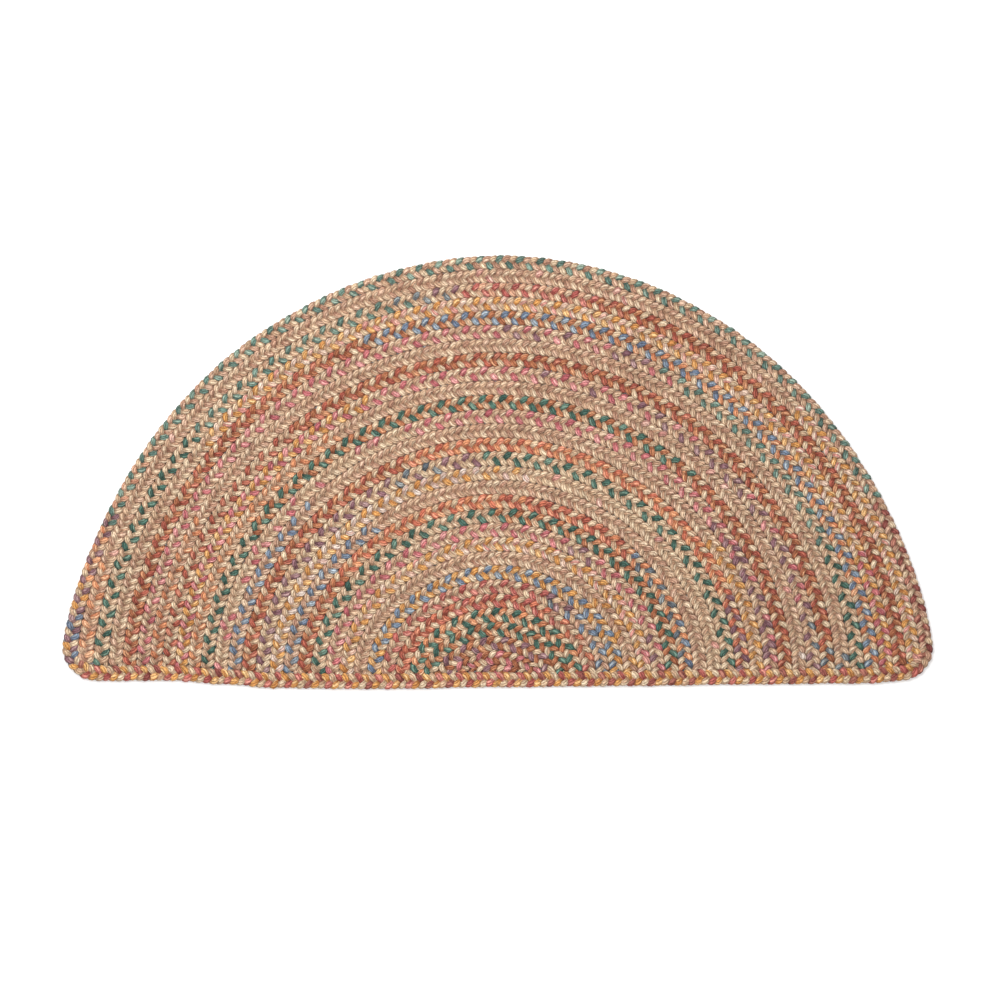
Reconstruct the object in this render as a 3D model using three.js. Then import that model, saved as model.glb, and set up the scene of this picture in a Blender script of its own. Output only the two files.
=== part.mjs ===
// A half-round braided rug, lying flat. Millimetres, +Z up, X along the straight side, Y towards the
// crown. The origin is on the floor under the middle of the rug's outline box.
// Three-strand braids run side by side as half-round courses round a short straight start. The
// outermost course turns both corners and closes along the straight side, over the others' ends.

import * as THREE from 'three';

// Driving dimensions
const arcCentreY = -277.8; // level of the point that the half-rounds turn about
const innerPitch = 19.78; // from course to course up to the last evenly sewn one
const outerPitch = 19.35; // the outer courses are sewn a little closer
const evenCourses = 22;
const courseCount = 29; // half-round courses, the last of them the outermost
const braidHeight = 9.5;
const seamGap = 0.44; // between neighbouring braids
const closingWidth = 21.5; // the braid along the straight side, looser than in a course
const cornerRadius = 48;

// Stations along a course, counted over a full half turn, and round a corner and the straight side
const fineStations = 40;
const coarseStations = 20;
const lastCoarseCourse = 10;
const cornerSteps = 6;
const closingSteps = 28;
const startSteps = 12;
const startTurn = 0.12 * Math.PI; // how far round the innermost course the straight start begins
const settlePasses = 8; // rounds for a point that is found by closing in on it
const leastStep = 0.01; // a shared turn this close to a course's end is left out

// How far a course bows out sideways where it meets the straight side, on the left and the right
const bowTable = [
  { course: 0, left: 33.4, right: 33.4 },
  { course: 6, left: 33.4, right: 27.9 },
  { course: 12, left: 32.0, right: 25.1 },
  { course: 19, left: 28.8, right: 25.1 },
  { course: 22, left: 23.0, right: 25.1 },
  { course: 24, left: 20.2, right: 27.9 },
  { course: 26, left: 20.2, right: 29.3 },
  { course: 27, left: 21.5, right: 29.3 },
  { course: 28, left: 24.5, right: 29.3 },
  { course: 29, left: 28.4, right: 29.8 },
  { course: 29.5, left: 30.6, right: 30.6 },
];

// How far up the course, in degrees, the bow reaches, and how sharply it dies away
const reachTable = [
  { course: 0, left: 90, right: 90, fall: 2.0 },
  { course: 6, left: 80, right: 80, fall: 1.8 },
  { course: 12, left: 72, right: 72, fall: 1.6 },
  { course: 19, left: 66, right: 60, fall: 1.5 },
  { course: 24, left: 40, right: 36, fall: 1.5 },
  { course: 29.5, left: 20, right: 24, fall: 1.5 },
];

// Where the outer courses are pulled in or let out at the rim: degrees round from the right corner
const rimTable = [
  { angle: 0, out: 0 },
  { angle: 60, out: 0 },
  { angle: 90, out: 0.6 },
  { angle: 105, out: -2.2 },
  { angle: 120, out: -3.6 },
  { angle: 135, out: -1.4 },
  { angle: 155, out: 0 },
  { angle: 180, out: 0 },
];
const firstRimCourse = 24; // this course and those inside it keep their even line

// How far the straight side's outer edge lies below the level of the arc centre
const sagTable = [
  { x: -620, sag: 13.2 },
  { x: -455, sag: 13.4 },
  { x: -370, sag: 19.0 },
  { x: -315, sag: 23.2 },
  { x: -175, sag: 25.0 },
  { x: 0, sag: 22.6 },
  { x: 170, sag: 20.9 },
  { x: 350, sag: 18.4 },
  { x: 520, sag: 16.6 },
  { x: 560, sag: 13.4 },
  { x: 620, sag: 12.8 },
];

// A braid's section: parts of its width from the inner side to the outer, and of its height.
// Two rounded ridges stand on a flat underside.
const sectionTable = [
  { across: -0.34, up: 0 },
  { across: 0.34, up: 0 },
  { across: 0.5, up: 0.42 },
  { across: 0.27, up: 1 },
  { across: 0, up: 0.84 },
  { across: -0.27, up: 1 },
  { across: -0.5, up: 0.42 },
];
const valley = 4; // the section point that the end faces fan out from

const strawColour = 0xcbb193;
const goldColour = 0xc99a62;
const roseColour = 0xc08a72;

const evenly = (part) => part;
const softly = (part) => part * part * (3 - 2 * part);

// The value that a table gives at a place between its rows
function lookUp(table, key, value, at, pace = evenly) {
  const next = Math.max(1, table.findIndex((row, index) => row[key] >= at || index === table.length - 1));
  const from = table[next - 1];
  const to = table[next];
  const part = THREE.MathUtils.clamp((at - from[key]) / (to[key] - from[key]), 0, 1);
  return THREE.MathUtils.lerp(from[value], to[value], pace(part));
}

function courseRadius(course) {
  return innerPitch * Math.min(course, evenCourses) + outerPitch * Math.max(0, course - evenCourses);
}

// Half the seam is left free on each side of a course
function insideSeam(across) {
  return across * (1 - seamGap / outerPitch);
}

function rimOffset(course, turn) {
  const share = Math.max(0, (course - firstRimCourse) / (courseCount + 0.5 - firstRimCourse));
  return share * lookUp(rimTable, 'angle', 'out', THREE.MathUtils.radToDeg(turn), softly);
}

// A point on a course's line. The turn is 0 at the right end and half a circle at the left one, and
// a course may be a fraction, such as 28.5 for the seam between courses 28 and 29.
function coursePoint(course, turn) {
  const side = Math.cos(turn) < 0 ? 'left' : 'right';
  const above = THREE.MathUtils.radToDeg(Math.atan2(Math.abs(Math.sin(turn)), Math.abs(Math.cos(turn))));
  const bow = lookUp(bowTable, 'course', side, course);
  const reach = lookUp(reachTable, 'course', side, course);
  const fall = lookUp(reachTable, 'course', 'fall', course);
  const shift = bow * Math.cos(turn) * Math.exp(-((above / reach) ** fall));
  const radius = courseRadius(course) + rimOffset(course, turn);
  return new THREE.Vector2(shift + radius * Math.cos(turn), arcCentreY + radius * Math.sin(turn));
}

function turnAtLevel(course, level, side) {
  const rise = Math.asin((level - arcCentreY) / courseRadius(course));
  return side > 0 ? rise : Math.PI - rise;
}

function sideLevel(x) {
  return arcCentreY - lookUp(sagTable, 'x', 'sag', x, softly);
}

// The corner on one side: the centre that its outer edge turns about, a corner radius above the
// straight side's edge, and how far its inner edge is from there where it leaves the arch
function makeCorner(side) {
  const outerLine = courseCount + insideSeam(0.5);
  const innerLine = courseCount + insideSeam(-0.5);
  const centre = new THREE.Vector2(side * (courseRadius(courseCount) - cornerRadius), 0);
  for (let pass = 0; pass < settlePasses; pass += 1) {
    centre.y = sideLevel(centre.x) + cornerRadius;
    const leaves = turnAtLevel(outerLine, centre.y, side);
    centre.x = coursePoint(outerLine, leaves).x - side * cornerRadius;
  }
  const inner = coursePoint(innerLine, turnAtLevel(innerLine, centre.y, side));
  return { side, centre, innerReach: Math.abs(inner.x - centre.x) };
}

const corners = [makeCorner(1), makeCorner(-1)];
const cornerShares = Array.from({ length: cornerSteps + 1 }, (_, step) => step / cornerSteps);
const closingInside = Array.from({ length: closingSteps - 1 }, (_, step) => step + 1);

// A corner point: share runs from the arch to the straight side, across from the inner edge (-0.5)
// to the outer (0.5)
function cornerPoint(corner, share, across) {
  const outerPart = across + 0.5;
  const angle = (share * Math.PI) / 2;
  const reach = corner.innerReach + (cornerRadius - corner.innerReach) * outerPart;
  const depth = cornerRadius - closingWidth + closingWidth * outerPart;
  return new THREE.Vector2(
    corner.centre.x + corner.side * reach * Math.cos(angle),
    corner.centre.y - depth * Math.sin(angle),
  );
}

// The straight side runs from one corner's centre to the other's, at even steps
function closingPoint(step, across) {
  const x = THREE.MathUtils.lerp(corners[0].centre.x, corners[1].centre.x, step / closingSteps);
  return new THREE.Vector2(x, sideLevel(x) + closingWidth * (0.5 - across));
}

// A line of the closing braid with its two corners, from the right end of the arch to the left one
function closingLine(across) {
  const right = cornerShares.map((share) => cornerPoint(corners[0], share, across));
  const straight = closingInside.map((step) => closingPoint(step, across));
  const left = cornerShares.map((share) => cornerPoint(corners[1], share, across)).reverse();
  return [...right, ...straight, ...left];
}

const innerEdge = closingLine(-0.5);

// The level of the closing braid's inner edge, above which the courses end
function edgeLevel(x) {
  const lastPoint = innerEdge.length - 1;
  const next = Math.max(1, innerEdge.findIndex((point, index) => point.x <= x || index === lastPoint));
  const from = innerEdge[next - 1];
  const to = innerEdge[next];
  const part = THREE.MathUtils.clamp((x - from.x) / (to.x - from.x), 0, 1);
  return THREE.MathUtils.lerp(from.y, to.y, part);
}

// The turn at which a line of a course meets the closing braid, a seam away from it
function endTurn(course, side) {
  let turn = turnAtLevel(course, arcCentreY, side);
  for (let pass = 0; pass < settlePasses; pass += 1) {
    const x = coursePoint(course, turn).x;
    const level = Math.max(edgeLevel(x - seamGap), edgeLevel(x + seamGap)) + seamGap;
    turn = turnAtLevel(course, level, side);
  }
  return turn;
}

// A closed body from rings of points, each ring one section. The ends are closed by fans, or the
// last ring joins the first.
function bodyFromRings(rings, isLoop) {
  const count = sectionTable.length;
  const positions = rings.flat().flatMap((point) => [point.x, point.y, point.z]);
  const faces = [];
  const spans = isLoop ? rings.length : rings.length - 1;
  for (let ring = 0; ring < spans; ring += 1) {
    const here = ring * count;
    const there = ((ring + 1) % rings.length) * count;
    for (let point = 0; point < count; point += 1) {
      const beside = (point + 1) % count;
      faces.push(here + point, there + point, here + beside);
      faces.push(here + beside, there + point, there + beside);
    }
  }
  if (!isLoop) {
    const last = (rings.length - 1) * count;
    for (let point = 1; point < count - 1; point += 1) {
      const first = (valley + point) % count;
      const second = (valley + point + 1) % count;
      faces.push(valley, first, second);
      faces.push(last + valley, last + second, last + first);
    }
  }
  const geometry = new THREE.BufferGeometry();
  geometry.setAttribute('position', new THREE.Float32BufferAttribute(positions, 3));
  geometry.setIndex(faces);
  geometry.computeVertexNormals();
  return geometry;
}

function makeBraid(name, rings, isLoop, colour) {
  const material = new THREE.MeshStandardMaterial({ color: colour, roughness: 0.95, metalness: 0 });
  const braid = new THREE.Mesh(bodyFromRings(rings, isLoop), material);
  braid.name = name;
  return braid;
}

// The turns shared by all courses, so that neighbours' edges run parallel
function sharedTurns(stations) {
  return Array.from({ length: stations - 1 }, (_, step) => ((step + 1) * Math.PI) / stations);
}

// One section of a braid: a ring of points, each on its own line along the braid
function sectionRing(pointOnLine) {
  return sectionTable.map(({ across, up }, index) => {
    const point = pointOnLine(across, index);
    return new THREE.Vector3(point.x, point.y, up * braidHeight);
  });
}

function makeCourse(course) {
  const stations = course <= lastCoarseCourse ? coarseStations : fineStations;
  const lines = sectionTable.map(({ across }) => course + insideSeam(across));
  const rightEnds = lines.map((line) => endTurn(line, 1));
  const leftEnds = lines.map((line) => endTurn(line, -1));
  const first = Math.max(...rightEnds) + leastStep;
  const last = Math.min(...leftEnds) - leastStep;
  const between = sharedTurns(stations).filter((turn) => turn > first && turn < last);
  const rings = [
    sectionRing((_, index) => coursePoint(lines[index], rightEnds[index])),
    ...between.map((turn) => sectionRing((_, index) => coursePoint(lines[index], turn))),
    sectionRing((_, index) => coursePoint(lines[index], leftEnds[index])),
  ];
  const number = String(courseCount - course + 1).padStart(2, '0');
  return makeBraid(`braid_course_${number}`, rings, false, strawColour);
}

// The outermost course, its two corners and the straight side, as one closed loop
function makeEdgeBraid() {
  const line = (across) => courseCount + insideSeam(across);
  const [first, last] = corners.map(({ side, centre }) => turnAtLevel(courseCount - 0.5, centre.y, side));
  const between = sharedTurns(fineStations).filter((turn) => turn > first && turn < last);
  const archRings = between.map((turn) => sectionRing((across) => coursePoint(line(across), turn)));
  const closingLines = sectionTable.map(({ across }) => closingLine(across));
  const closingRings = innerEdge.map((_, station) =>
    sectionRing((across, index) => closingLines[index][station]),
  );
  return makeBraid('edge_braid', [...archRings, ...closingRings.reverse()], true, goldColour);
}

// The short straight start, between the innermost course and the closing braid
function makeStartBraid() {
  const rings = [];
  for (let step = 0; step <= startSteps; step += 1) {
    const turn = THREE.MathUtils.lerp(startTurn, Math.PI - startTurn, step / startSteps);
    const far = coursePoint(0.5 - seamGap / innerPitch, turn);
    const near = new THREE.Vector2(far.x, edgeLevel(far.x) + seamGap);
    rings.push(sectionRing((across) => near.clone().lerp(far, across + 0.5)));
  }
  return makeBraid('start_braid', rings, false, roseColour);
}

const rug = new THREE.Group();
rug.name = 'half_round_braided_rug';
rug.add(makeEdgeBraid());
for (let course = courseCount - 1; course >= 1; course -= 1) rug.add(makeCourse(course));
rug.add(makeStartBraid());

export default rug;
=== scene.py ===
# A half-round braided rug of heathered yarn, lying flat on a pale floor and seen from straight above.
# Metres, +Z up, with the straight side along X. Each braid is plaited from three strands along the
# middle line of its solid in the frame, and stands for that solid.

import math
import random

import bpy
import numpy as np
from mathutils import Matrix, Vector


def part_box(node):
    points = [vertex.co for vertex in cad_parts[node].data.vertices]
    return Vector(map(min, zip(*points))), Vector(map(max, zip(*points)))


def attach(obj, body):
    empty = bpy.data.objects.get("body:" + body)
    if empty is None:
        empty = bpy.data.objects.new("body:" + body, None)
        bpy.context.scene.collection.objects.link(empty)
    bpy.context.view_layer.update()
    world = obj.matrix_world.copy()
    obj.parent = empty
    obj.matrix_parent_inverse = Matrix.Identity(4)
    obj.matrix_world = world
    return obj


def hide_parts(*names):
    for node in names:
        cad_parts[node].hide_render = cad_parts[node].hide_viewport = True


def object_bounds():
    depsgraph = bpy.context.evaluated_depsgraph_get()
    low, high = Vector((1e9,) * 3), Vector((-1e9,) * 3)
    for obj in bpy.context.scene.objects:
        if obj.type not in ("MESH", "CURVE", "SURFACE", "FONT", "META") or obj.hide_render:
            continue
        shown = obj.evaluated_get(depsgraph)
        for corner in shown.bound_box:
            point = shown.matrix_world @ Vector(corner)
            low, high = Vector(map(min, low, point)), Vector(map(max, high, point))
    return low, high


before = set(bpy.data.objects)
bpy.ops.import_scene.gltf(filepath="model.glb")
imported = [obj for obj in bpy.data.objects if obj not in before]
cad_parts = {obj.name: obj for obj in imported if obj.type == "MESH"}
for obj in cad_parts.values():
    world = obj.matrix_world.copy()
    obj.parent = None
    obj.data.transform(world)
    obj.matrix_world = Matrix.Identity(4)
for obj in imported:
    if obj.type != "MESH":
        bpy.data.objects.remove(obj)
solid_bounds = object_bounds()

# The plait: a repeat runs from one strand's stitch to its next one in the same column
REPEAT = 0.0281
REPEAT_SPREAD = 0.02  # how much looser or tighter one braid is plaited than another
STRANDS = 3
STITCHES_PER_REPEAT = 6  # three strands, each on top once in either column
STRAND_HALF_WIDTH = 0.0038
STRAND_HALF_HEIGHT = 0.0027
STRAND_SIDES = 10
STEPS_PER_REPEAT = 14
SPARE_REPEATS = 2  # of the path beyond the braid's far end
SQUARENESS = 2.8  # 2 is an ellipse, and more is flatter on top
NORMAL_HALF_WIDTH = 0.0095  # of a braid whose strands have the sizes above
PLUMPNESS = 0.04  # how much fuller a strand is in the middle of its stitch
PLUMP_SPREAD = 0.09  # how much stitches differ
PRESS = 0.0014  # how far neighbouring braids press into each other
STRAY = 0.0038  # the whole width that a strand strays over, about its even swing
STRAY_SCALE = 90.0  # steps of the noise that moves it, in a metre
STRAY_SHARE = (1.0, 1.0, 0.5)  # less up and down than sideways
FLATNESS = 0.62  # less makes a strand stay on top for longer, and drop more steeply
STITCH_MIDDLE = 3 / 8  # of a turn: where an even stitch on top has its middle
EARLY = 1 / 24  # of a turn: how much nearer the braid's side a stitch lies than that
STRAND_APART = 10.0  # metres of yarn between the strands' patterns, so that no two are alike
END_SIZE = 0.55  # a course's last bit, as a part of its size
START_SINK = 0.3  # how far the start's hidden side is pressed down, as a part of its height
START_TAPER = 0.02  # over which either end of the start is flattened
WANDER = 0.000125  # how far a braid strays from its even line
TUCK = 0.0035  # how far a course runs in under the closing braid
TAPER = 0.006  # over which either end of a course is flattened
SEED = 2904

# The flat map that a strand is unrolled on
ROUND_TO_STEP = 7.6  # how much longer the way round a strand is than a step along it
MAP_EDGE = 0.03  # of a row, left free at either side
CAP_RADIUS = 0.4  # of a strand's end, as a part of its own cell in the last row
SIDE_FACE_CORNERS = 4  # a face with more corners is a strand's end
MAP_NUMBERS = ("ring", "side", "strand")  # what each point carries for the map alone

# The smooth curve through a solid's middle line
PLACES_PER_SPAN = 40
END_REACH = 5  # how many places back the line's direction at an end is taken from

# Heights in a solid's section, as parts of the braid's height
VALLEY_LEVEL = 0.84  # the middle line between the two ridges
SIDE_LEVEL = 0.42  # the widest points
LEVEL_SLACK = 0.0001

# The photograph's frame: straight down, with its centre a little off the rug's
VIEW_CENTRE = (0.0035, -0.0387)
VIEW_WIDTH = 1.3931
CAMERA_HEIGHT = 6.0
SENSOR_WIDTH = 36.0

# The yarns: the main colour of each, and the paler and darker plies that are spun in with it
YARNS = {
    "white": ((210, 191, 176), (222, 209, 197), (194, 158, 146)),
    "candy": ((211, 182, 160), (220, 200, 182), (201, 131, 124)),
    "cream": ((202, 177, 146), (212, 192, 164), (183, 147, 120)),
    "sand": ((200, 170, 141), (213, 191, 164), (173, 135, 110)),
    "tan": ((190, 152, 128), (208, 178, 154), (156, 116, 96)),
    "peach": ((212, 163, 133), (227, 195, 167), (182, 127, 103)),
    "blush": ((205, 153, 139), (223, 190, 173), (175, 119, 111)),
    "gold": ((207, 151, 88), (225, 186, 134), (177, 119, 68)),
    "orange": ((209, 142, 102), (225, 179, 143), (179, 110, 79)),
    "coral": ((197, 117, 91), (217, 153, 124), (165, 86, 68)),
    "rust": ((178, 115, 82), (204, 151, 114), (144, 87, 62)),
    "brick": ((171, 93, 76), (197, 132, 109), (137, 71, 59)),
    "rose": ((181, 100, 92), (207, 142, 128), (147, 75, 70)),
    "maroon": ((152, 89, 81), (184, 128, 110), (122, 65, 61)),
    "pink": ((196, 117, 119), (219, 161, 156), (162, 86, 92)),
    "plum": ((143, 106, 112), (176, 147, 144), (111, 78, 86)),
    "slate": ((110, 118, 124), (154, 160, 158), (84, 92, 100)),
    "blue": ((120, 136, 154), (164, 175, 181), (94, 106, 128)),
    "teal": ((74, 107, 95), (118, 145, 129), (54, 79, 71)),
    "sage": ((101, 131, 120), (150, 168, 152), (77, 99, 91)),
}

# The three yarns of each braid, counted from the rim inwards. A stretch begins so many degrees round
# from the right end. A second word after a dash is a fleck that turns up in some stitches.
BRAID_YARNS = {
    1: [(0, "maroon tan cream"), (25, "sage tan sand"), (62, "sage tan cream"),
        (148, "sage peach cream"), (158, "orange plum sand"), (168, "gold-blue plum cream")],
    2: [(0, "gold candy cream"), (42, "sand tan-blush sand"), (165, "orange tan sand")],
    3: [(0, "brick rust cream"), (75, "rose peach sand"), (95, "plum cream sand"),
        (100, "slate cream sand"), (106, "sage cream sand"), (140, "teal cream sand")],
    4: [(0, "gold pink cream"), (20, "gold candy cream"), (143, "cream tan-blush sand")],
    5: [(0, "blue orange cream"), (65, "blue rust cream"), (110, "brick rust cream")],
    6: [(0, "teal cream sand"), (20, "sage cream sand"), (61, "plum-pink sand sand"),
        (90, "pink sand sand")],
    7: [(0, "sand-pink sand tan-slate"), (6, "sand-blush cream tan"), (30, "sand sand tan"),
        (150, "orange tan sand")],
    8: [(0, "brick-slate rust cream"), (8, "brick rust cream"), (130, "brick cream sand")],
    9: [(0, "plum-slate sand sand"), (12, "pink-plum sand sand"), (90, "pink sand sand"),
        (117, "gold pink cream")],
    10: [(0, "sand-white cream tan"), (12, "sand sand tan-blush"), (125, "orange sand sand")],
    11: [(0, "brick rust cream"), (47, "teal rust cream"), (150, "teal cream sand")],
    12: [(0, "pink-plum sand-plum sand"), (37, "pink sand sand"), (110, "cream-blush cream-pink sand")],
    13: [(0, "gold sand sand"), (35, "sand tan sand"), (140, "blue sand tan")],
    14: [(0, "coral plum cream"), (20, "coral orange cream"), (115, "brick rust cream")],
    15: [(0, "teal cream cream"), (97, "plum-slate cream cream"), (120, "plum cream cream")],
    16: [(0, "cream-blush cream sand"), (80, "gold-white cream sand"), (100, "gold white cream")],
    17: [(0, "sand tan sand"), (127, "blue tan sand")],
    18: [(0, "orange slate-blue cream"), (42, "coral-orange brick cream"),
         (90, "coral orange cream"), (150, "brick rust cream")],
    19: [(0, "teal rust cream"), (92, "teal cream sand")],
    20: [(0, "pink-plum cream sand"), (65, "pink sand sand")],
    21: [(0, "gold-pink candy cream"), (20, "gold candy cream")],
    22: [(0, "gold-sand tan sand"), (45, "sand tan sand")],
    23: [(0, "blue gold cream")],
    24: [(0, "blue cream tan"), (38, "slate-tan plum cream"), (60, "rose tan cream")],
    25: [(0, "coral-rose tan cream"), (50, "rose coral cream"), (130, "brick coral cream")],
    26: [(0, "teal orange cream")],
    27: [(0, "teal rust cream")],
    28: [(0, "plum rust cream")],
    29: [(0, "pink rust cream")],
}
CLOSING_YARNS = "gold rose-maroon cream"
START_YARNS = "pink-plum rust cream"
TONES = ("main", "pale", "dark")
FLECK_SHARE = 0.4  # of a strand's stitches that take its fleck
RARE_FLECK_SHARE = 0.12  # the same for blush
BLEND_DEGREES = 2.5  # over which one stretch gives way to the next
SHADE_SPREAD = 0.04  # how much lighter or darker one stitch is than another

ARC_CENTRE_Y = -0.2778  # of the half-rounds
CLOSING_LEVEL = -0.270  # below this the edge braid closes the straight side
PAST_RIGHT_END = 270  # degrees round, from where a place is reckoned to the right end

# The yarn's look, with painted shade in its clefts, dips, sides and seams. A strand's pattern is
# reckoned on a section one unit in radius.
PLIES = 8.0
TWIST = -80.0  # how far the plies turn in a metre, in radians
CLEFT_SHADE = 0.82  # painted shade in the cleft between two plies: how dark it is
CLEFT_SHARPNESS = 2.5  # more makes that line thinner
PALE_PLIES = (0.5, 0.8)  # a ply's random number where it begins to be pale, and where it is palest
DARK_PLIES = (0.45, 0.15)  # the same for a dark ply
HEATHER = 0.85  # how far the palest and the darkest plies leave the main colour
FIBRE_NOISE = {"Scale": 3.2, "Detail": 3.0, "Roughness": 0.65}
FIBRE_RUN = 150.0  # how many units the fibres' pattern moves on in a metre of strand
FIBRE_RANGE = (0.3, 0.7)  # that noise where a fibre is darkest, and where it is brightest
GRAIN = (0.44, 1.48)  # how bright those two are, as parts of the ply's colour
FIBRE_HEIGHT = 0.6  # as a part of a ply's height
PAINTED_GROOVE_SHADE = 0.58  # how dark the painted shade is where a strand dips under the others
# the warm colour that the painted shade turns a strand towards
PAINTED_GROOVE_SHADE_COLOUR = (0.31, 0.2, 0.155, 1)
BURIED_SHADE = (0.56, 0.78)  # a strand's share of its rise: in painted shade up to the first, free of it from the second
SIDE_SHADE = 0.6  # how dark the painted shade on a strand's side is, as a part of the groove's
SIDE_SHARPNESS = 8.0  # more keeps that shade nearer the side
RIM_SHADE = 0.75  # how dark the painted shade is in the seam where two braids are sewn together
RIM = (0.55, 0.95)  # parts of the way out to there: where that shade begins, and where it is whole
BUMP = {"Strength": 0.7, "Distance": 0.0012}
WOOL = {"Roughness": 0.92, "Specular IOR Level": 0.15, "Sheen Weight": 0.04, "Sheen Roughness": 0.5}

# The studio: a floor that goes on past the view, and three soft square lamps that point at the rug
FLOOR_HALF = 4.0
FLOOR_COLOUR = (0.98, 0.98, 0.98, 1)
SKY_STRENGTH = 0.885
LAMPS = (
    {"name": "window side", "place": (-1.1, 1.4, 2.2), "size": 2.8, "power": 36.0},
    {"name": "overhead", "place": (-0.4, 0.5, 3.2), "size": 2.4, "power": 17.0},
    {"name": "over the arch", "place": (-0.2, 0.32, 1.1), "size": 0.9, "power": 7.5},
)

picks = random.Random(SEED)


def linear(channel):
    """A screen colour's channel, from 0 to 255, as linear light."""
    value = channel / 255
    return value / 12.92 if value <= 0.04045 else ((value + 0.055) / 1.055) ** 2.4


def wire(tree, kind, inputs=None, **settings):
    """A node with its settings, and its inputs set or linked."""
    node = tree.nodes.new(kind)
    for name, value in settings.items():
        setattr(node, name, value)
    for key, value in (inputs or {}).items():
        if isinstance(value, bpy.types.NodeSocket):
            tree.links.new(value, node.inputs[key])
        else:
            node.inputs[key].default_value = value
    return node


def reckon(tree, operation, *values):
    """The result of a Math node."""
    return wire(tree, "ShaderNodeMath", dict(enumerate(values)), operation=operation).outputs[0]


def reckon_vector(tree, operation, *values):
    """The result of a Vector Math node."""
    return wire(tree, "ShaderNodeVectorMath", dict(enumerate(values)), operation=operation).outputs[0]


def lengthened(tree, vector, factor):
    """A vector, or a colour, times a number."""
    inputs = {0: vector, "Scale": factor}
    return wire(tree, "ShaderNodeVectorMath", inputs, operation="SCALE").outputs[0]


def combined(tree, x=0.0, y=0.0, z=0.0):
    """A vector of three parts."""
    return wire(tree, "ShaderNodeCombineXYZ", {0: x, 1: y, 2: z}).outputs[0]


def level_points(node, part):
    """The points of a solid at one level of its section, seen from above."""
    corners = np.array([vertex.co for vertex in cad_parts[node].data.vertices])
    level = part * corners[:, 2].max()
    chosen = corners[np.abs(corners[:, 2] - level) < LEVEL_SLACK]
    return np.unique(chosen[:, :2].round(6), axis=0)


def middle_line(node, is_loop):
    """A solid's middle line, anticlockwise, with half its width at each point."""
    low_y, high_y = solid_bounds[0].y, solid_bounds[1].y
    hub_y = (2 * low_y + high_y) / 3 if is_loop else low_y
    line = level_points(node, VALLEY_LEVEL)
    angles = (np.arctan2(line[:, 1] - hub_y, line[:, 0]) + math.pi / 2) % (2 * math.pi)
    line = line[np.argsort(angles)]
    sides = level_points(node, SIDE_LEVEL)
    half_widths = np.array([np.hypot(*(sides - point).T).min() for point in line])
    return line, half_widths


def smooth_line(line, half_widths, is_loop):
    """Many close points on a smooth curve through the line: distance, place and half width.

    Each span is a cubic between two points, with the directions there taken from the chords.
    """
    if is_loop:
        line = np.vstack([line[-1:], line, line[:2]])
        half_widths = np.hstack([half_widths[-1:], half_widths, half_widths[:2]])
    chords = np.hypot(*np.diff(line, axis=0).T)
    slopes = np.diff(line, axis=0) / chords[:, None]
    before, after = chords[:-1, None], chords[1:, None]
    inner = (slopes[:-1] * after + slopes[1:] * before) / (before + after)
    tangents = np.vstack([2 * slopes[0] - inner[0], inner, 2 * slopes[-1] - inner[-1]])
    share = np.linspace(0, 1, PLACES_PER_SPAN, endpoint=False)[:, None]
    spans = range(1, len(chords) - 1) if is_loop else range(len(chords))
    places, widths = [], []
    for span in spans:
        start, stop, chord = line[span], line[span + 1], chords[span]
        ease = share * share * (3 - 2 * share)
        lead = share * (1 - share) ** 2 * chord
        tail = share * share * (share - 1) * chord
        bend = tangents[span] * lead + tangents[span + 1] * tail
        places.append(start + (stop - start) * ease + bend)
        widening = half_widths[span + 1] - half_widths[span]
        widths.append(half_widths[span] + widening * share[:, 0])
    last = spans[-1] + 1
    places = np.vstack([*places, line[last : last + 1]])
    widths = np.hstack([*widths, half_widths[last]])
    distance = np.hstack([0, np.cumsum(np.hypot(*np.diff(places, axis=0).T))])
    return distance, places, widths


def place_at(distance, places, at):
    """Places at the given distances, straight on beyond the ends."""
    found = np.stack([np.interp(at, distance, places[:, axis]) for axis in (0, 1)], 1)
    length = distance[-1]
    near, far = END_REACH, -1 - END_REACH
    first = (places[0] - places[near]) / (distance[near] - distance[0])
    last = (places[-1] - places[far]) / (distance[-1] - distance[far])
    found += np.maximum(0, -at)[:, None] * first
    found += np.maximum(0, at - length)[:, None] * last
    return found


def yarns_at(row, degrees):
    """The yarns of a braid's three strands at a place, with a soft change between stretches."""
    at = degrees + picks.uniform(-BLEND_DEGREES, BLEND_DEGREES)
    words = [yarns for begins, yarns in row if begins <= max(at, 0)]
    return words[-1].split()


def stitch_colours(word):
    """The main, pale and dark colours of one stitch, as linear numbers."""
    name, _, fleck = word.partition("-")
    share = RARE_FLECK_SHARE if fleck == "blush" else FLECK_SHARE
    if fleck and picks.random() < share:
        name = fleck
    shade = 1 + picks.uniform(-SHADE_SPREAD, SHADE_SPREAD)
    return [[*(linear(channel * shade) for channel in colour), 1.0] for colour in YARNS[name]]


def carry(mesh, name, kind, field, values):
    """Gives each point of a mesh its value of an attribute."""
    attribute = mesh.attributes.new(name, kind, "POINT")
    attribute.data.foreach_set(field, np.array(values, np.float32).ravel())


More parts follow.
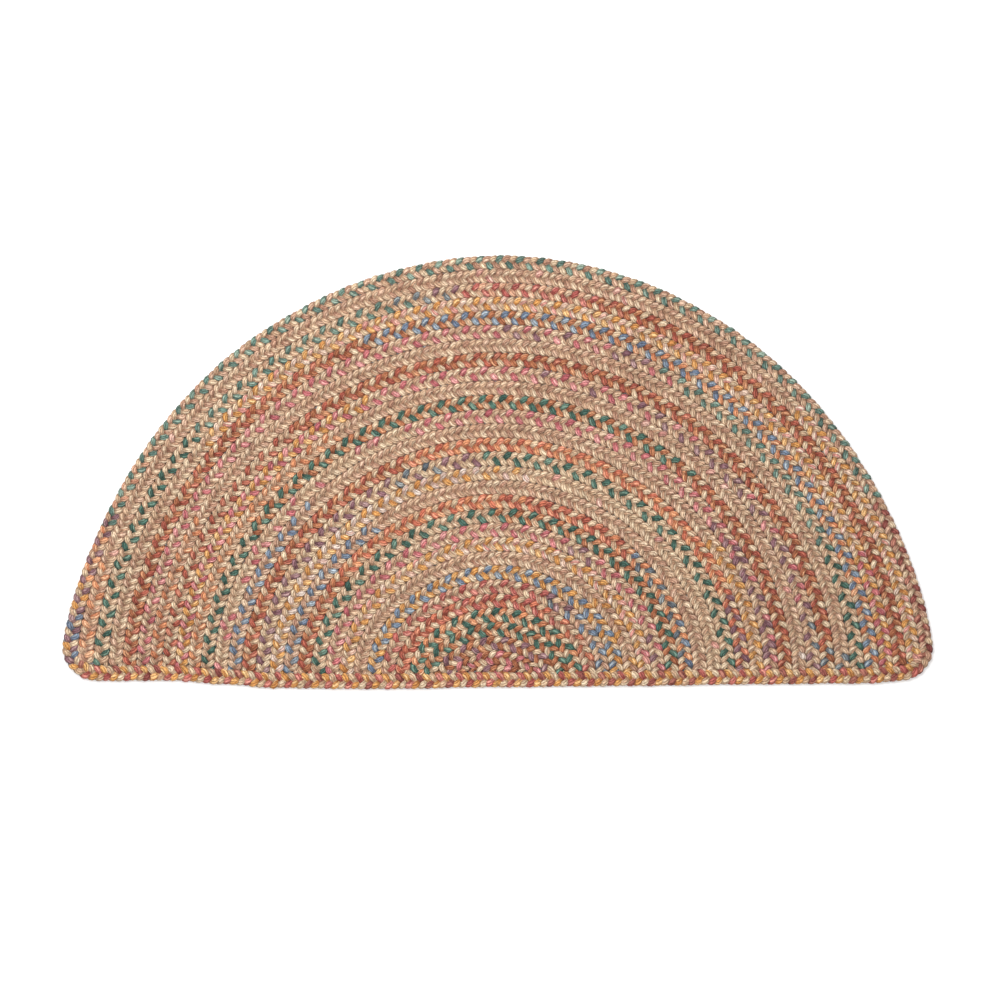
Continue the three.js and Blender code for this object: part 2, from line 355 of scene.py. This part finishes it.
def braid_path(name, line, half_widths, is_loop, yarns_for):
    """A mesh with one point for each stitch, which carries what the plait needs to know there.

    An open braid's path starts some way before it, so that each begins at another place in its plait.
    """
    distance, places, widths = smooth_line(line, half_widths, is_loop)
    length = distance[-1]
    if is_loop:
        repeat = length / round(length / REPEAT)
        lead = 0.0
        count = STITCHES_PER_REPEAT * round(length / repeat)
    else:
        repeat = REPEAT * (1 + picks.uniform(-REPEAT_SPREAD, REPEAT_SPREAD))
        lead = repeat * (1 + picks.random())
        whole = lead + length + SPARE_REPEATS * repeat
        count = math.ceil(whole * STITCHES_PER_REPEAT / repeat)
    at = np.arange(count) * repeat / STITCHES_PER_REPEAT - lead
    points = place_at(distance, places, at)
    stray = [picks.uniform(-WANDER, WANDER) for _ in range(count)]
    points += np.array([stray, stray[::-1]]).T
    mesh = bpy.data.meshes.new(name + "_path")
    mesh.from_pydata([(x, y, 0.0) for x, y in points], [], [])
    words = [yarns_for(x, y)[stitch % STRANDS] for stitch, (x, y) in enumerate(points)]
    colours = [stitch_colours(word) for word in words]
    plump = [1 + picks.uniform(-PLUMP_SPREAD, PLUMP_SPREAD) for _ in range(count)]
    for tone, values in zip(TONES, zip(*colours)):
        carry(mesh, tone, "FLOAT_COLOR", "color", values)
    carry(mesh, "plump", "FLOAT", "value", plump)
    carry(mesh, "half_width", "FLOAT", "value", np.interp(at, distance, widths))
    return mesh, repeat, lead, length


PLAIT_SIZES = (
    "Repeat", "Step", "Height", "Normal half width", "Strand half width", "Strand half height",
    "Plumpness", "Flatness", "Inner press", "Outer press", "Outer seam", "Inner sink",
    "Stray", "Start", "Stop", "Taper",
)


def plait_inputs(tree):
    """The tree's named inputs, by name."""
    face = tree.interface
    face.new_socket("Path", in_out="INPUT", socket_type="NodeSocketGeometry")
    for name in PLAIT_SIZES:
        face.new_socket(name, in_out="INPUT", socket_type="NodeSocketFloat")
    face.new_socket("Closed", in_out="INPUT", socket_type="NodeSocketBool")
    face.new_socket("Finish", in_out="INPUT", socket_type="NodeSocketMaterial")
    face.new_socket("Braid", in_out="OUTPUT", socket_type="NodeSocketGeometry")
    return wire(tree, "NodeGroupInput").outputs


def named(tree, name, kind):
    """What was stored under a name."""
    return wire(tree, "GeometryNodeInputNamedAttribute", {"Name": name}, data_type=kind).outputs[0]


def stored(tree, geometry, name, kind, value):
    """The geometry with a value stored under a name on each point."""
    inputs = {"Geometry": geometry, "Name": name, "Value": value}
    settings = {"data_type": kind, "domain": "POINT"}
    return wire(tree, "GeometryNodeStoreNamedAttribute", inputs, **settings).outputs[0]


def strand_section(tree, given):
    """A strand's section: a flattened round with its own place stored on it."""
    sides = {"Resolution": STRAND_SIDES, "Radius": 1.0}
    ring = wire(tree, "GeometryNodeCurvePrimitiveCircle", sides).outputs[0]
    place = wire(tree, "GeometryNodeInputPosition").outputs[0]
    parts = wire(tree, "ShaderNodeSeparateXYZ", {0: place}).outputs
    flattened = []
    for part, size in ((parts[0], "Strand half width"), (parts[1], "Strand half height")):
        reach = reckon(tree, "ABSOLUTE", part)
        fuller = reckon(tree, "POWER", reach, 2 / SQUARENESS)
        signed = reckon(tree, "MULTIPLY", fuller, reckon(tree, "SIGN", part))
        flattened.append(reckon(tree, "MULTIPLY", signed, given[size]))
    tagged = stored(tree, ring, "round_place", "FLOAT_VECTOR", place)
    tagged = stored(tree, tagged, "side", "INT", wire(tree, "GeometryNodeInputIndex").outputs[0])
    shape = {"Geometry": tagged, "Position": combined(tree, *flattened)}
    return wire(tree, "GeometryNodeSetPosition", shape).outputs[0]


def path_curve(tree, given):
    """The path's points as one smooth curve, cut to the braid's ends, with the distance along it."""
    points = wire(tree, "GeometryNodeMeshToPoints", {"Mesh": given["Path"]}).outputs[0]
    number = wire(tree, "GeometryNodeInputIndex").outputs[0]
    in_order = {"Points": points, "Weight": number}
    curve = wire(tree, "GeometryNodePointsToCurves", in_order).outputs[0]
    closed = wire(tree, "GeometryNodeSetSplineCyclic", {0: curve, "Cyclic": given["Closed"]}).outputs[0]
    smooth = wire(tree, "GeometryNodeCurveSplineType", {0: closed}, spline_type="CATMULL_ROM").outputs[0]
    even_steps = {"Curve": smooth, "Length": given["Step"]}
    even = wire(tree, "GeometryNodeResampleCurve", even_steps, mode="LENGTH").outputs[0]
    distance = wire(tree, "GeometryNodeSplineParameter").outputs["Length"]
    measured = stored(tree, even, "along", "FLOAT", distance)
    here = named(tree, "along", "FLOAT")
    before = reckon(tree, "LESS_THAN", here, given["Start"])
    beyond = reckon(tree, "GREATER_THAN", here, given["Stop"])
    outside = {"Geometry": measured, "Selection": reckon(tree, "ADD", before, beyond)}
    cut = wire(tree, "GeometryNodeDeleteGeometry", outside).outputs[0]
    tangent = wire(tree, "GeometryNodeInputTangent").outputs[0]
    right = reckon_vector(tree, "CROSS_PRODUCT", tangent, (0.0, 0.0, 1.0))
    return stored(tree, cut, "outward", "FLOAT_VECTOR", right)


def end_taper(tree, given):
    """1 along the braid, falling to 0 over the taper at either end."""
    here = named(tree, "along", "FLOAT")
    from_start = reckon(tree, "SUBTRACT", here, given["Start"])
    to_stop = reckon(tree, "SUBTRACT", given["Stop"], here)
    nearest = reckon(tree, "MINIMUM", from_start, to_stop)
    share = reckon(tree, "DIVIDE", nearest, given["Taper"])
    return wire(tree, "ShaderNodeClamp", {"Value": share}).outputs[0]


def stitch_number(tree, given, repeats, number):
    """Which of the path's points stands for the stitch that a strand is in.

    A strand begins a new stitch each half repeat, halfway on its way up from under the others.
    """
    offset = 2 * (number / STRANDS + STITCH_MIDDLE + EARLY) - 0.5
    half_repeats = reckon(tree, "MULTIPLY_ADD", repeats, 2.0, offset)
    whole = reckon(tree, "FLOOR", half_repeats)
    stitch = reckon(tree, "MULTIPLY_ADD", whole, float(STRANDS), -2.0 * number)
    count = wire(tree, "GeometryNodeAttributeDomainSize", {0: given["Path"]}).outputs[0]
    return reckon(tree, "FLOORED_MODULO", stitch, count)


def taught(tree, given, curve, stitch):
    """The curve with what the path's points say of each stitch."""
    for name, kind in (*((tone, "FLOAT_COLOR") for tone in TONES), ("plump", "FLOAT")):
        inputs = {"Geometry": given["Path"], "Value": named(tree, name, kind), "Index": stitch}
        settings = {"data_type": kind, "domain": "POINT"}
        found = wire(tree, "GeometryNodeSampleIndex", inputs, **settings).outputs[0]
        curve = stored(tree, curve, "strand_" + name, kind, found)
    return curve


def stray(tree, given, number):
    """How far a strand strays from its even swing."""
    here = wire(tree, "GeometryNodeInputPosition").outputs[0]
    place = reckon_vector(tree, "ADD", here, (0.0, 0.0, number + 1.0))
    noise = wire(tree, "ShaderNodeTexNoise", {"Vector": place, "Scale": STRAY_SCALE, "Detail": 1.0})
    centred = reckon_vector(tree, "SUBTRACT", noise.outputs["Color"], (0.5, 0.5, 0.5))
    shared = reckon_vector(tree, "MULTIPLY", centred, STRAY_SHARE)
    return lengthened(tree, shared, given["Stray"])


def strand_size(tree, given, shown, squeeze):
    """How full a strand is: more in the middle of its stitch, and less at the braid's ends."""
    breadth = reckon(tree, "DIVIDE", named(tree, "half_width", "FLOAT"), given["Normal half width"])
    fuller = reckon(tree, "MULTIPLY_ADD", shown, given["Plumpness"], 1.0)
    plump = reckon(tree, "MULTIPLY", fuller, named(tree, "strand_plump", "FLOAT"))
    return reckon(tree, "MULTIPLY", reckon(tree, "MULTIPLY", plump, breadth), squeeze)


def strand_level(tree, given, rise, swing, size, squeeze):
    """How high a strand's middle lies. The start's hidden side is pressed down."""
    middle = reckon(tree, "MULTIPLY", given["Height"], 0.5)
    thickness = reckon(tree, "MULTIPLY", size, given["Strand half height"])
    lift = reckon(tree, "MULTIPLY", reckon(tree, "SUBTRACT", middle, thickness), squeeze)
    usual_level = reckon(tree, "SUBTRACT", middle, reckon(tree, "MULTIPLY", rise, lift))
    inward = reckon(tree, "MAXIMUM", reckon(tree, "MULTIPLY", swing, -1.0), 0.0)
    sunk = reckon(tree, "MULTIPLY", inward, given["Inner sink"])
    above_floor = reckon(tree, "SUBTRACT", usual_level, thickness)
    drop = reckon(tree, "MULTIPLY", above_floor, sunk)
    return reckon(tree, "SUBTRACT", usual_level, drop)


def strand_across(tree, given, swing, size):
    """How far out from the braid's middle line a strand lies, pressed into the braids beside it."""
    outward = reckon(tree, "GREATER_THAN", swing, 0.0)
    press_change = reckon(tree, "SUBTRACT", given["Outer press"], given["Inner press"])
    press = reckon(tree, "MULTIPLY_ADD", outward, press_change, given["Inner press"])
    pressed = reckon(tree, "ADD", named(tree, "half_width", "FLOAT"), press)
    width = reckon(tree, "MULTIPLY", size, given["Strand half width"])
    return reckon(tree, "MULTIPLY", swing, reckon(tree, "SUBTRACT", pressed, width))


def strand(tree, given, curve, section, number):
    """One of the three strands: it swings from side to side, and lies on top on its way inwards."""
    here = named(tree, "along", "FLOAT")
    repeats = reckon(tree, "DIVIDE", here, given["Repeat"])
    first_turn = 2 * math.pi * (number / STRANDS + STITCH_MIDDLE)
    turn = reckon(tree, "MULTIPLY_ADD", repeats, 2 * math.pi, first_turn)
    swing = reckon(tree, "SINE", turn)
    even_rise = reckon(tree, "SINE", reckon(tree, "MULTIPLY_ADD", turn, 2.0, 4 * math.pi * EARLY))
    shown = reckon(tree, "POWER", reckon(tree, "ABSOLUTE", even_rise), given["Flatness"])
    rise = reckon(tree, "MULTIPLY", shown, reckon(tree, "SIGN", even_rise))

    stitch = stitch_number(tree, given, repeats, number)
    seam = reckon(tree, "MINIMUM", swing, given["Outer seam"])
    ring = wire(tree, "GeometryNodeInputIndex").outputs[0]
    known = taught(tree, given, curve, stitch)
    known = stored(tree, known, "stitch", "FLOAT", stitch)
    known = stored(tree, known, "shown", "FLOAT", shown)
    known = stored(tree, known, "seam", "FLOAT", seam)
    known = stored(tree, known, "ring", "INT", ring)
    known = stored(tree, known, "strand", "INT", number)
    own_length = reckon(tree, "ADD", here, STRAND_APART * number)
    known = stored(tree, known, "strand_length", "FLOAT", own_length)
    squeeze = reckon(tree, "MULTIPLY_ADD", end_taper(tree, given), 1 - END_SIZE, END_SIZE)
    known = stored(tree, known, "size", "FLOAT", strand_size(tree, given, shown, squeeze))

    size = named(tree, "size", "FLOAT")
    level = strand_level(tree, given, rise, swing, size, squeeze)
    across = strand_across(tree, given, swing, size)
    sideways = lengthened(tree, named(tree, "outward", "FLOAT_VECTOR"), across)
    even = reckon_vector(tree, "ADD", sideways, combined(tree, z=level))
    offset = reckon_vector(tree, "ADD", even, stray(tree, given, number))
    moved = wire(tree, "GeometryNodeSetPosition", {"Geometry": known, "Offset": offset}).outputs[0]
    upright = wire(tree, "GeometryNodeSetCurveNormal", {0: moved}, mode="Z_UP").outputs[0]
    sweep = {"Curve": upright, "Profile Curve": section, "Scale": size, "Fill Caps": True}
    return wire(tree, "GeometryNodeCurveToMesh", sweep).outputs[0]


def plait_tree():
    """Plaits three strands along a path that has one point for each stitch."""
    tree = bpy.data.node_groups.new("Three strand plait", "GeometryNodeTree")
    given = plait_inputs(tree)
    curve = path_curve(tree, given)
    section = strand_section(tree, given)
    joined = wire(tree, "GeometryNodeJoinGeometry")
    for number in range(STRANDS):
        tree.links.new(strand(tree, given, curve, section, number), joined.inputs[0])
    real = wire(tree, "GeometryNodeRealizeInstances", {0: joined.outputs[0]}).outputs[0]
    soft = wire(tree, "GeometryNodeSetShadeSmooth", {0: real}).outputs[0]
    dressed = wire(tree, "GeometryNodeSetMaterial", {0: soft, "Material": given["Finish"]}).outputs[0]
    wire(tree, "NodeGroupOutput", {0: dressed})
    return tree


def plaited(name, tree, path, sizes):
    """The plain mesh that the tree makes of a path."""
    holder = bpy.data.objects.new(name + "_holder", path)
    bpy.context.scene.collection.objects.link(holder)
    plait = holder.modifiers.new("plait", "NODES")
    plait.node_group = tree
    for item in tree.interface.items_tree:
        if item.name in sizes:
            plait[item.identifier] = sizes[item.name]
    evaluated = holder.evaluated_get(bpy.context.evaluated_depsgraph_get())
    mesh = bpy.data.meshes.new_from_object(evaluated)
    mesh.name = name
    bpy.data.objects.remove(holder)
    bpy.data.meshes.remove(path)
    piece = bpy.data.objects.new(name, mesh)
    bpy.context.scene.collection.objects.link(piece)
    return piece


def point_numbers(mesh, name):
    """A whole number that each point of a mesh carries."""
    found = np.empty(len(mesh.vertices), np.int32)
    mesh.attributes[name].data.foreach_get("value", found)
    return found


def unwrapped_round(numbers, sizes, full):
    """Numbers round a ring, or along a closed strand, that don't fall back to 0 inside a face."""
    starts = np.cumsum(sizes) - sizes
    highest = np.repeat(np.maximum.reduceat(numbers, starts), sizes)
    lowest = np.repeat(np.minimum.reduceat(numbers, starts), sizes)
    wraps = (highest - lowest > full / 2) & (numbers < full / 2)
    return numbers + full * wraps


def unroll(mesh):
    """Gives a plait's mesh a flat map: each strand unrolled and cut into rows of even length.

    The strands' ends are small rounds in a row of their own.
    """
    corners = np.empty(len(mesh.loops), np.int32)
    mesh.loops.foreach_get("vertex_index", corners)
    sizes = np.empty(len(mesh.polygons), np.int32)
    mesh.polygons.foreach_get("loop_total", sizes)
    rings, sides, strands = (point_numbers(mesh, name)[corners] for name in MAP_NUMBERS)

    ring_count = rings.max() + 1
    row_length = math.ceil(math.sqrt(STRANDS * ring_count * ROUND_TO_STEP))
    rows_each = math.ceil(ring_count / row_length)
    along = unwrapped_round(rings, sizes, ring_count)
    around = unwrapped_round(sides, sizes, STRAND_SIDES)
    starts = np.cumsum(sizes) - sizes
    row_of_strand = np.repeat(np.minimum.reduceat(along, starts), sizes) // row_length
    across = (along - row_of_strand * row_length) / row_length
    row = strands * rows_each + row_of_strand
    up = row + MAP_EDGE + (1 - 2 * MAP_EDGE) * around / STRAND_SIDES

    caps = np.repeat(sizes > SIDE_FACE_CORNERS, sizes)
    cap_angle = 2 * math.pi * sides / STRAND_SIDES
    cap_middle = 2 * strands + (rings > 0) + 0.5
    across[caps] = (cap_middle + CAP_RADIUS * np.cos(cap_angle))[caps] / (2 * STRANDS)
    up[caps] = (STRANDS * rows_each + 0.5 + CAP_RADIUS * np.sin(cap_angle))[caps]
    up /= STRANDS * rows_each + 1

    flat = mesh.uv_layers.new(name="OFBake")
    flat.data.foreach_set("uv", np.stack([across, up], 1).astype(np.float32).ravel())
    for name in MAP_NUMBERS:
        mesh.attributes.remove(mesh.attributes[name])


def make_braid(node, piece_name, finish, tree, yarns_for, is_loop=False, is_start=False):
    """A plaited piece that stands for one solid.

    Half of the start lies under the closing braid, so the start is drawn at its full width there.
    """
    line, half_widths = middle_line(node, is_loop)
    if is_start:
        line[:, 1] -= NORMAL_HALF_WIDTH - half_widths
        half_widths[:] = NORMAL_HALF_WIDTH
    path, repeat, lead, length = braid_path(piece_name, line, half_widths, is_loop, yarns_for)
    tuck = 0.0 if is_start else TUCK
    begins, ends = lead - tuck, lead + length + tuck
    if is_loop:
        # A closed braid isn't cut or tapered: both places lie a whole length past its line
        begins, ends = -length, 2 * length
    sizes = {
        "Repeat": repeat,
        "Step": repeat / STEPS_PER_REPEAT,
        "Height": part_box(node)[1].z,
        "Normal half width": NORMAL_HALF_WIDTH,
        "Strand half width": STRAND_HALF_WIDTH,
        "Strand half height": STRAND_HALF_HEIGHT,
        "Plumpness": PLUMPNESS,
        "Flatness": FLATNESS,
        "Inner press": PRESS,
        "Outer press": 0.0 if is_loop else PRESS,
        "Outer seam": 0.0 if is_loop else 1.0,
        "Inner sink": START_SINK if is_start else 0.0,
        "Stray": STRAY,
        "Start": begins,
        "Stop": ends,
        "Taper": START_TAPER if is_start else TAPER,
        "Closed": is_loop,
        "Finish": finish,
    }
    piece = plaited(piece_name, tree, path, sizes)
    unroll(piece.data)
    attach(piece, "root")
    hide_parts(node)


def degrees_round(x, y):
    """Degrees round from the right end, about the centre of the half-rounds."""
    return math.degrees(math.atan2(y - ARC_CENTRE_Y, x)) % 360


def course_yarns(number):
    """The yarns at each place of one half-round course. Past either end, the nearest stretch goes on."""
    row = BRAID_YARNS[number]

    def yarns_for(x, y):
        degrees = degrees_round(x, y)
        return yarns_at(row, 0 if degrees > PAST_RIGHT_END else min(degrees, 180))

    return yarns_for


def edge_yarns(x, y):
    """The edge braid's yarns, which change where it turns to close the straight side."""
    if y < CLOSING_LEVEL:
        return CLOSING_YARNS.split()
    return yarns_at(BRAID_YARNS[1], min(degrees_round(x, y), 180))


def start_yarns(x, y):
    """The start's yarns, the same all along."""
    return START_YARNS.split()


def mapped(tree, value, low, high, to_low, to_high):
    """A value moved from one range to another, and kept inside it."""
    inputs = {"Value": value, "From Min": low, "From Max": high, "To Min": to_low, "To Max": to_high}
    return wire(tree, "ShaderNodeMapRange", inputs).outputs[0]


def blended(tree, share, first, second):
    """A colour between two others."""
    inputs = {0: share, 6: first, 7: second}
    return wire(tree, "ShaderNodeMix", inputs, data_type="RGBA").outputs[2]


def yarn_inputs(tree):
    """The group's named inputs, by name."""
    face = tree.interface
    # the groove colour, the cleft and the groove set the painted shade
    for name in ("Main", "Pale", "Dark", "Painted groove shade colour"):
        face.new_socket(name, in_out="INPUT", socket_type="NodeSocketColor")
    face.new_socket("Round", in_out="INPUT", socket_type="NodeSocketVector")
    for name in ("Length", "Stitch", "Shown", "Seam", "Twist", "Plies", "Heather", "Cleft shade", "Painted groove shade"):
        face.new_socket(name, in_out="INPUT", socket_type="NodeSocketFloat")
    face.new_socket("Colour", in_out="OUTPUT", socket_type="NodeSocketColor")
    face.new_socket("Height", in_out="OUTPUT", socket_type="NodeSocketFloat")
    return wire(tree, "NodeGroupInput").outputs


def heathered(tree, given, ply_number):
    """A ply's colour: the main one, or nearer the pale or the dark one."""
    own = combined(tree, x=ply_number, y=given["Stitch"])
    tone = wire(tree, "ShaderNodeTexWhiteNoise", {"Vector": own}).outputs[0]
    pale = reckon(tree, "MULTIPLY", mapped(tree, tone, *PALE_PLIES, 0.0, 1.0), given["Heather"])
    dark = reckon(tree, "MULTIPLY", mapped(tree, tone, *DARK_PLIES, 0.0, 1.0), given["Heather"])
    with_pale = blended(tree, pale, given["Main"], given["Pale"])
    return blended(tree, dark, with_pale, given["Dark"])


def fibres(tree, given, spin):
    """Fibres that run along the twisted plies."""
    turned = {"Vector": given["Round"], "Angle": spin}
    spun = wire(tree, "ShaderNodeVectorRotate", turned, rotation_type="Z_AXIS").outputs[0]
    fibre_run = combined(tree, z=reckon(tree, "MULTIPLY", given["Length"], FIBRE_RUN))
    strung = reckon_vector(tree, "ADD", spun, fibre_run)
    return wire(tree, "ShaderNodeTexNoise", {"Vector": strung, **FIBRE_NOISE}).outputs[0]


def painted_shade(tree, given, across):
    """How much painted shade a strand gets: at its sides, where it dips, and along the seam between two
    braids.
    """
    off_middle = reckon(tree, "POWER", reckon(tree, "ABSOLUTE", across), SIDE_SHARPNESS)
    side = reckon(tree, "MULTIPLY", off_middle, SIDE_SHADE)
    buried_shade = mapped(tree, given["Shown"], *BURIED_SHADE, 1.0, 0.0)
    dip_and_side_shade = reckon(tree, "MULTIPLY", reckon(tree, "MAXIMUM", side, buried_shade), given["Painted groove shade"])
    towards_seam = reckon(tree, "MULTIPLY", given["Seam"], across)
    rim = mapped(tree, towards_seam, *RIM, 0.0, RIM_SHADE)
    return reckon(tree, "MAXIMUM", dip_and_side_shade, rim)


def yarn_group():
    """Yarn of plies wound round the strand, each with its own tone, with fibres along them and painted
    shade in its clefts, dips, sides and seams.
    """
    tree = bpy.data.node_groups.new("Heathered yarn with painted shade", "ShaderNodeTree")
    given = yarn_inputs(tree)
    place = wire(tree, "ShaderNodeSeparateXYZ", {0: given["Round"]}).outputs
    angle = reckon(tree, "ARCTAN2", place[1], place[0])
    spin = reckon(tree, "MULTIPLY", given["Length"], given["Twist"])
    turns = reckon(tree, "DIVIDE", reckon(tree, "ADD", angle, spin), 2 * math.pi)
    plies = reckon(tree, "MULTIPLY", turns, given["Plies"])
    number = reckon(tree, "FLOORED_MODULO", reckon(tree, "FLOOR", plies), given["Plies"])
    off_middle = reckon(tree, "MULTIPLY_ADD", reckon(tree, "FRACT", plies), 2.0, -1.0)
    edge = reckon(tree, "POWER", reckon(tree, "ABSOLUTE", off_middle), CLEFT_SHARPNESS)
    fibre = fibres(tree, given, spin)

    # painted shade: the clefts between plies, and the dips, sides and seams, are turned towards the
    # groove colour
    cleft_shade = reckon(tree, "MULTIPLY", edge, given["Cleft shade"])
    darkest_shade = reckon(tree, "MAXIMUM", painted_shade(tree, given, place[0]), cleft_shade)
    sunk = blended(tree, darkest_shade, (1, 1, 1, 1), given["Painted groove shade colour"])
    shaded = reckon_vector(tree, "MULTIPLY", heathered(tree, given, number), sunk)
    colour = lengthened(tree, shaded, mapped(tree, fibre, *FIBRE_RANGE, *GRAIN))
    ridge = reckon(tree, "SUBTRACT", 1.0, edge)
    height = reckon(tree, "MULTIPLY_ADD", fibre, FIBRE_HEIGHT, ridge)
    wire(tree, "NodeGroupOutput", {"Colour": colour, "Height": height})
    return tree


def yarn_finish(name, group):
    """A matt woollen finish that takes its colours from the stitches, painted shade included."""
    material = bpy.data.materials.new(name)
    material.use_nodes = True
    tree = material.node_tree
    shader = tree.nodes["Principled BSDF"]
    for socket, value in WOOL.items():
        shader.inputs[socket].default_value = value
    carried = {
        "Main": ("strand_main", "Color"),
        "Pale": ("strand_pale", "Color"),
        "Dark": ("strand_dark", "Color"),
        "Length": ("strand_length", "Fac"),
        "Stitch": ("stitch", "Fac"),
        "Round": ("round_place", "Vector"),
        "Shown": ("shown", "Fac"),
        "Seam": ("seam", "Fac"),
    }
    looks = {
        "Twist": TWIST,
        "Plies": PLIES,
        "Heather": HEATHER,
        # the last three set the painted shade in the clefts, dips, sides and seams
        "Cleft shade": CLEFT_SHADE,
        "Painted groove shade": PAINTED_GROOVE_SHADE,
        "Painted groove shade colour": PAINTED_GROOVE_SHADE_COLOUR,
    }
    yarn = wire(tree, "ShaderNodeGroup", node_tree=group)
    for socket, (attribute, output) in carried.items():
        source = wire(tree, "ShaderNodeAttribute", attribute_name=attribute).outputs[output]
        tree.links.new(source, yarn.inputs[socket])
    for socket, value in looks.items():
        yarn.inputs[socket].default_value = value
    bump = wire(tree, "ShaderNodeBump", {**BUMP, "Height": yarn.outputs["Height"]})
    tree.links.new(yarn.outputs["Colour"], shader.inputs["Base Color"])
    tree.links.new(bump.outputs[0], shader.inputs["Normal"])
    return material


def make_floor():
    half = FLOOR_HALF
    mesh = bpy.data.meshes.new("floor")
    corners = [(-half, -half, 0.0), (half, -half, 0.0), (half, half, 0.0), (-half, half, 0.0)]
    mesh.from_pydata(corners, [], [(0, 1, 2, 3)])
    floor = bpy.data.objects.new("floor", mesh)
    material = bpy.data.materials.new("floor paper")
    material.use_nodes = True
    shader = material.node_tree.nodes["Principled BSDF"]
    shader.inputs["Base Color"].default_value = FLOOR_COLOUR
    shader.inputs["Roughness"].default_value = 0.9
    shader.inputs["Specular IOR Level"].default_value = 0.0
    mesh.materials.append(material)
    bpy.context.scene.collection.objects.link(floor)


def make_lights():
    world = bpy.data.worlds.new("studio")
    world.use_nodes = True
    sky = world.node_tree.nodes["Background"]
    sky.inputs["Color"].default_value = (1, 1, 1, 1)
    sky.inputs["Strength"].default_value = SKY_STRENGTH
    bpy.context.scene.world = world
    for lamp in LAMPS:
        data = bpy.data.lights.new(lamp["name"], "AREA")
        data.size = lamp["size"]
        data.energy = lamp["power"]
        stand = bpy.data.objects.new(lamp["name"], data)
        stand.location = lamp["place"]
        stand.rotation_euler = (-stand.location).to_track_quat("-Z", "Y").to_euler()
        bpy.context.scene.collection.objects.link(stand)


def make_camera():
    data = bpy.data.cameras.new("camera")
    data.sensor_width = SENSOR_WIDTH
    rug_top = solid_bounds[1].z
    data.lens = SENSOR_WIDTH * (CAMERA_HEIGHT - rug_top) / VIEW_WIDTH
    data.clip_end = 100
    camera = bpy.data.objects.new("camera", data)
    camera.location = (*VIEW_CENTRE, CAMERA_HEIGHT)
    bpy.context.scene.collection.objects.link(camera)
    bpy.context.scene.camera = camera


def make_rug():
    tree = plait_tree()
    group = yarn_group()
    edge = yarn_finish("edge yarn", group)
    course = yarn_finish("course yarn", group)
    start = yarn_finish("start yarn", group)
    make_braid("edge_braid", "edge_plait", edge, tree, edge_yarns, is_loop=True)
    for number in range(2, len(BRAID_YARNS) + 1):
        node = f"braid_course_{number:02d}"
        name = f"course_plait_{number:02d}"
        make_braid(node, name, course, tree, course_yarns(number))
    make_braid("start_braid", "start_plait", start, tree, start_yarns, is_start=True)


# Standard keeps the pale yarns and the white floor at the photograph's tones
bpy.context.scene.view_settings.view_transform = "Standard"
make_camera()
make_rug()
make_floor()
make_lights()
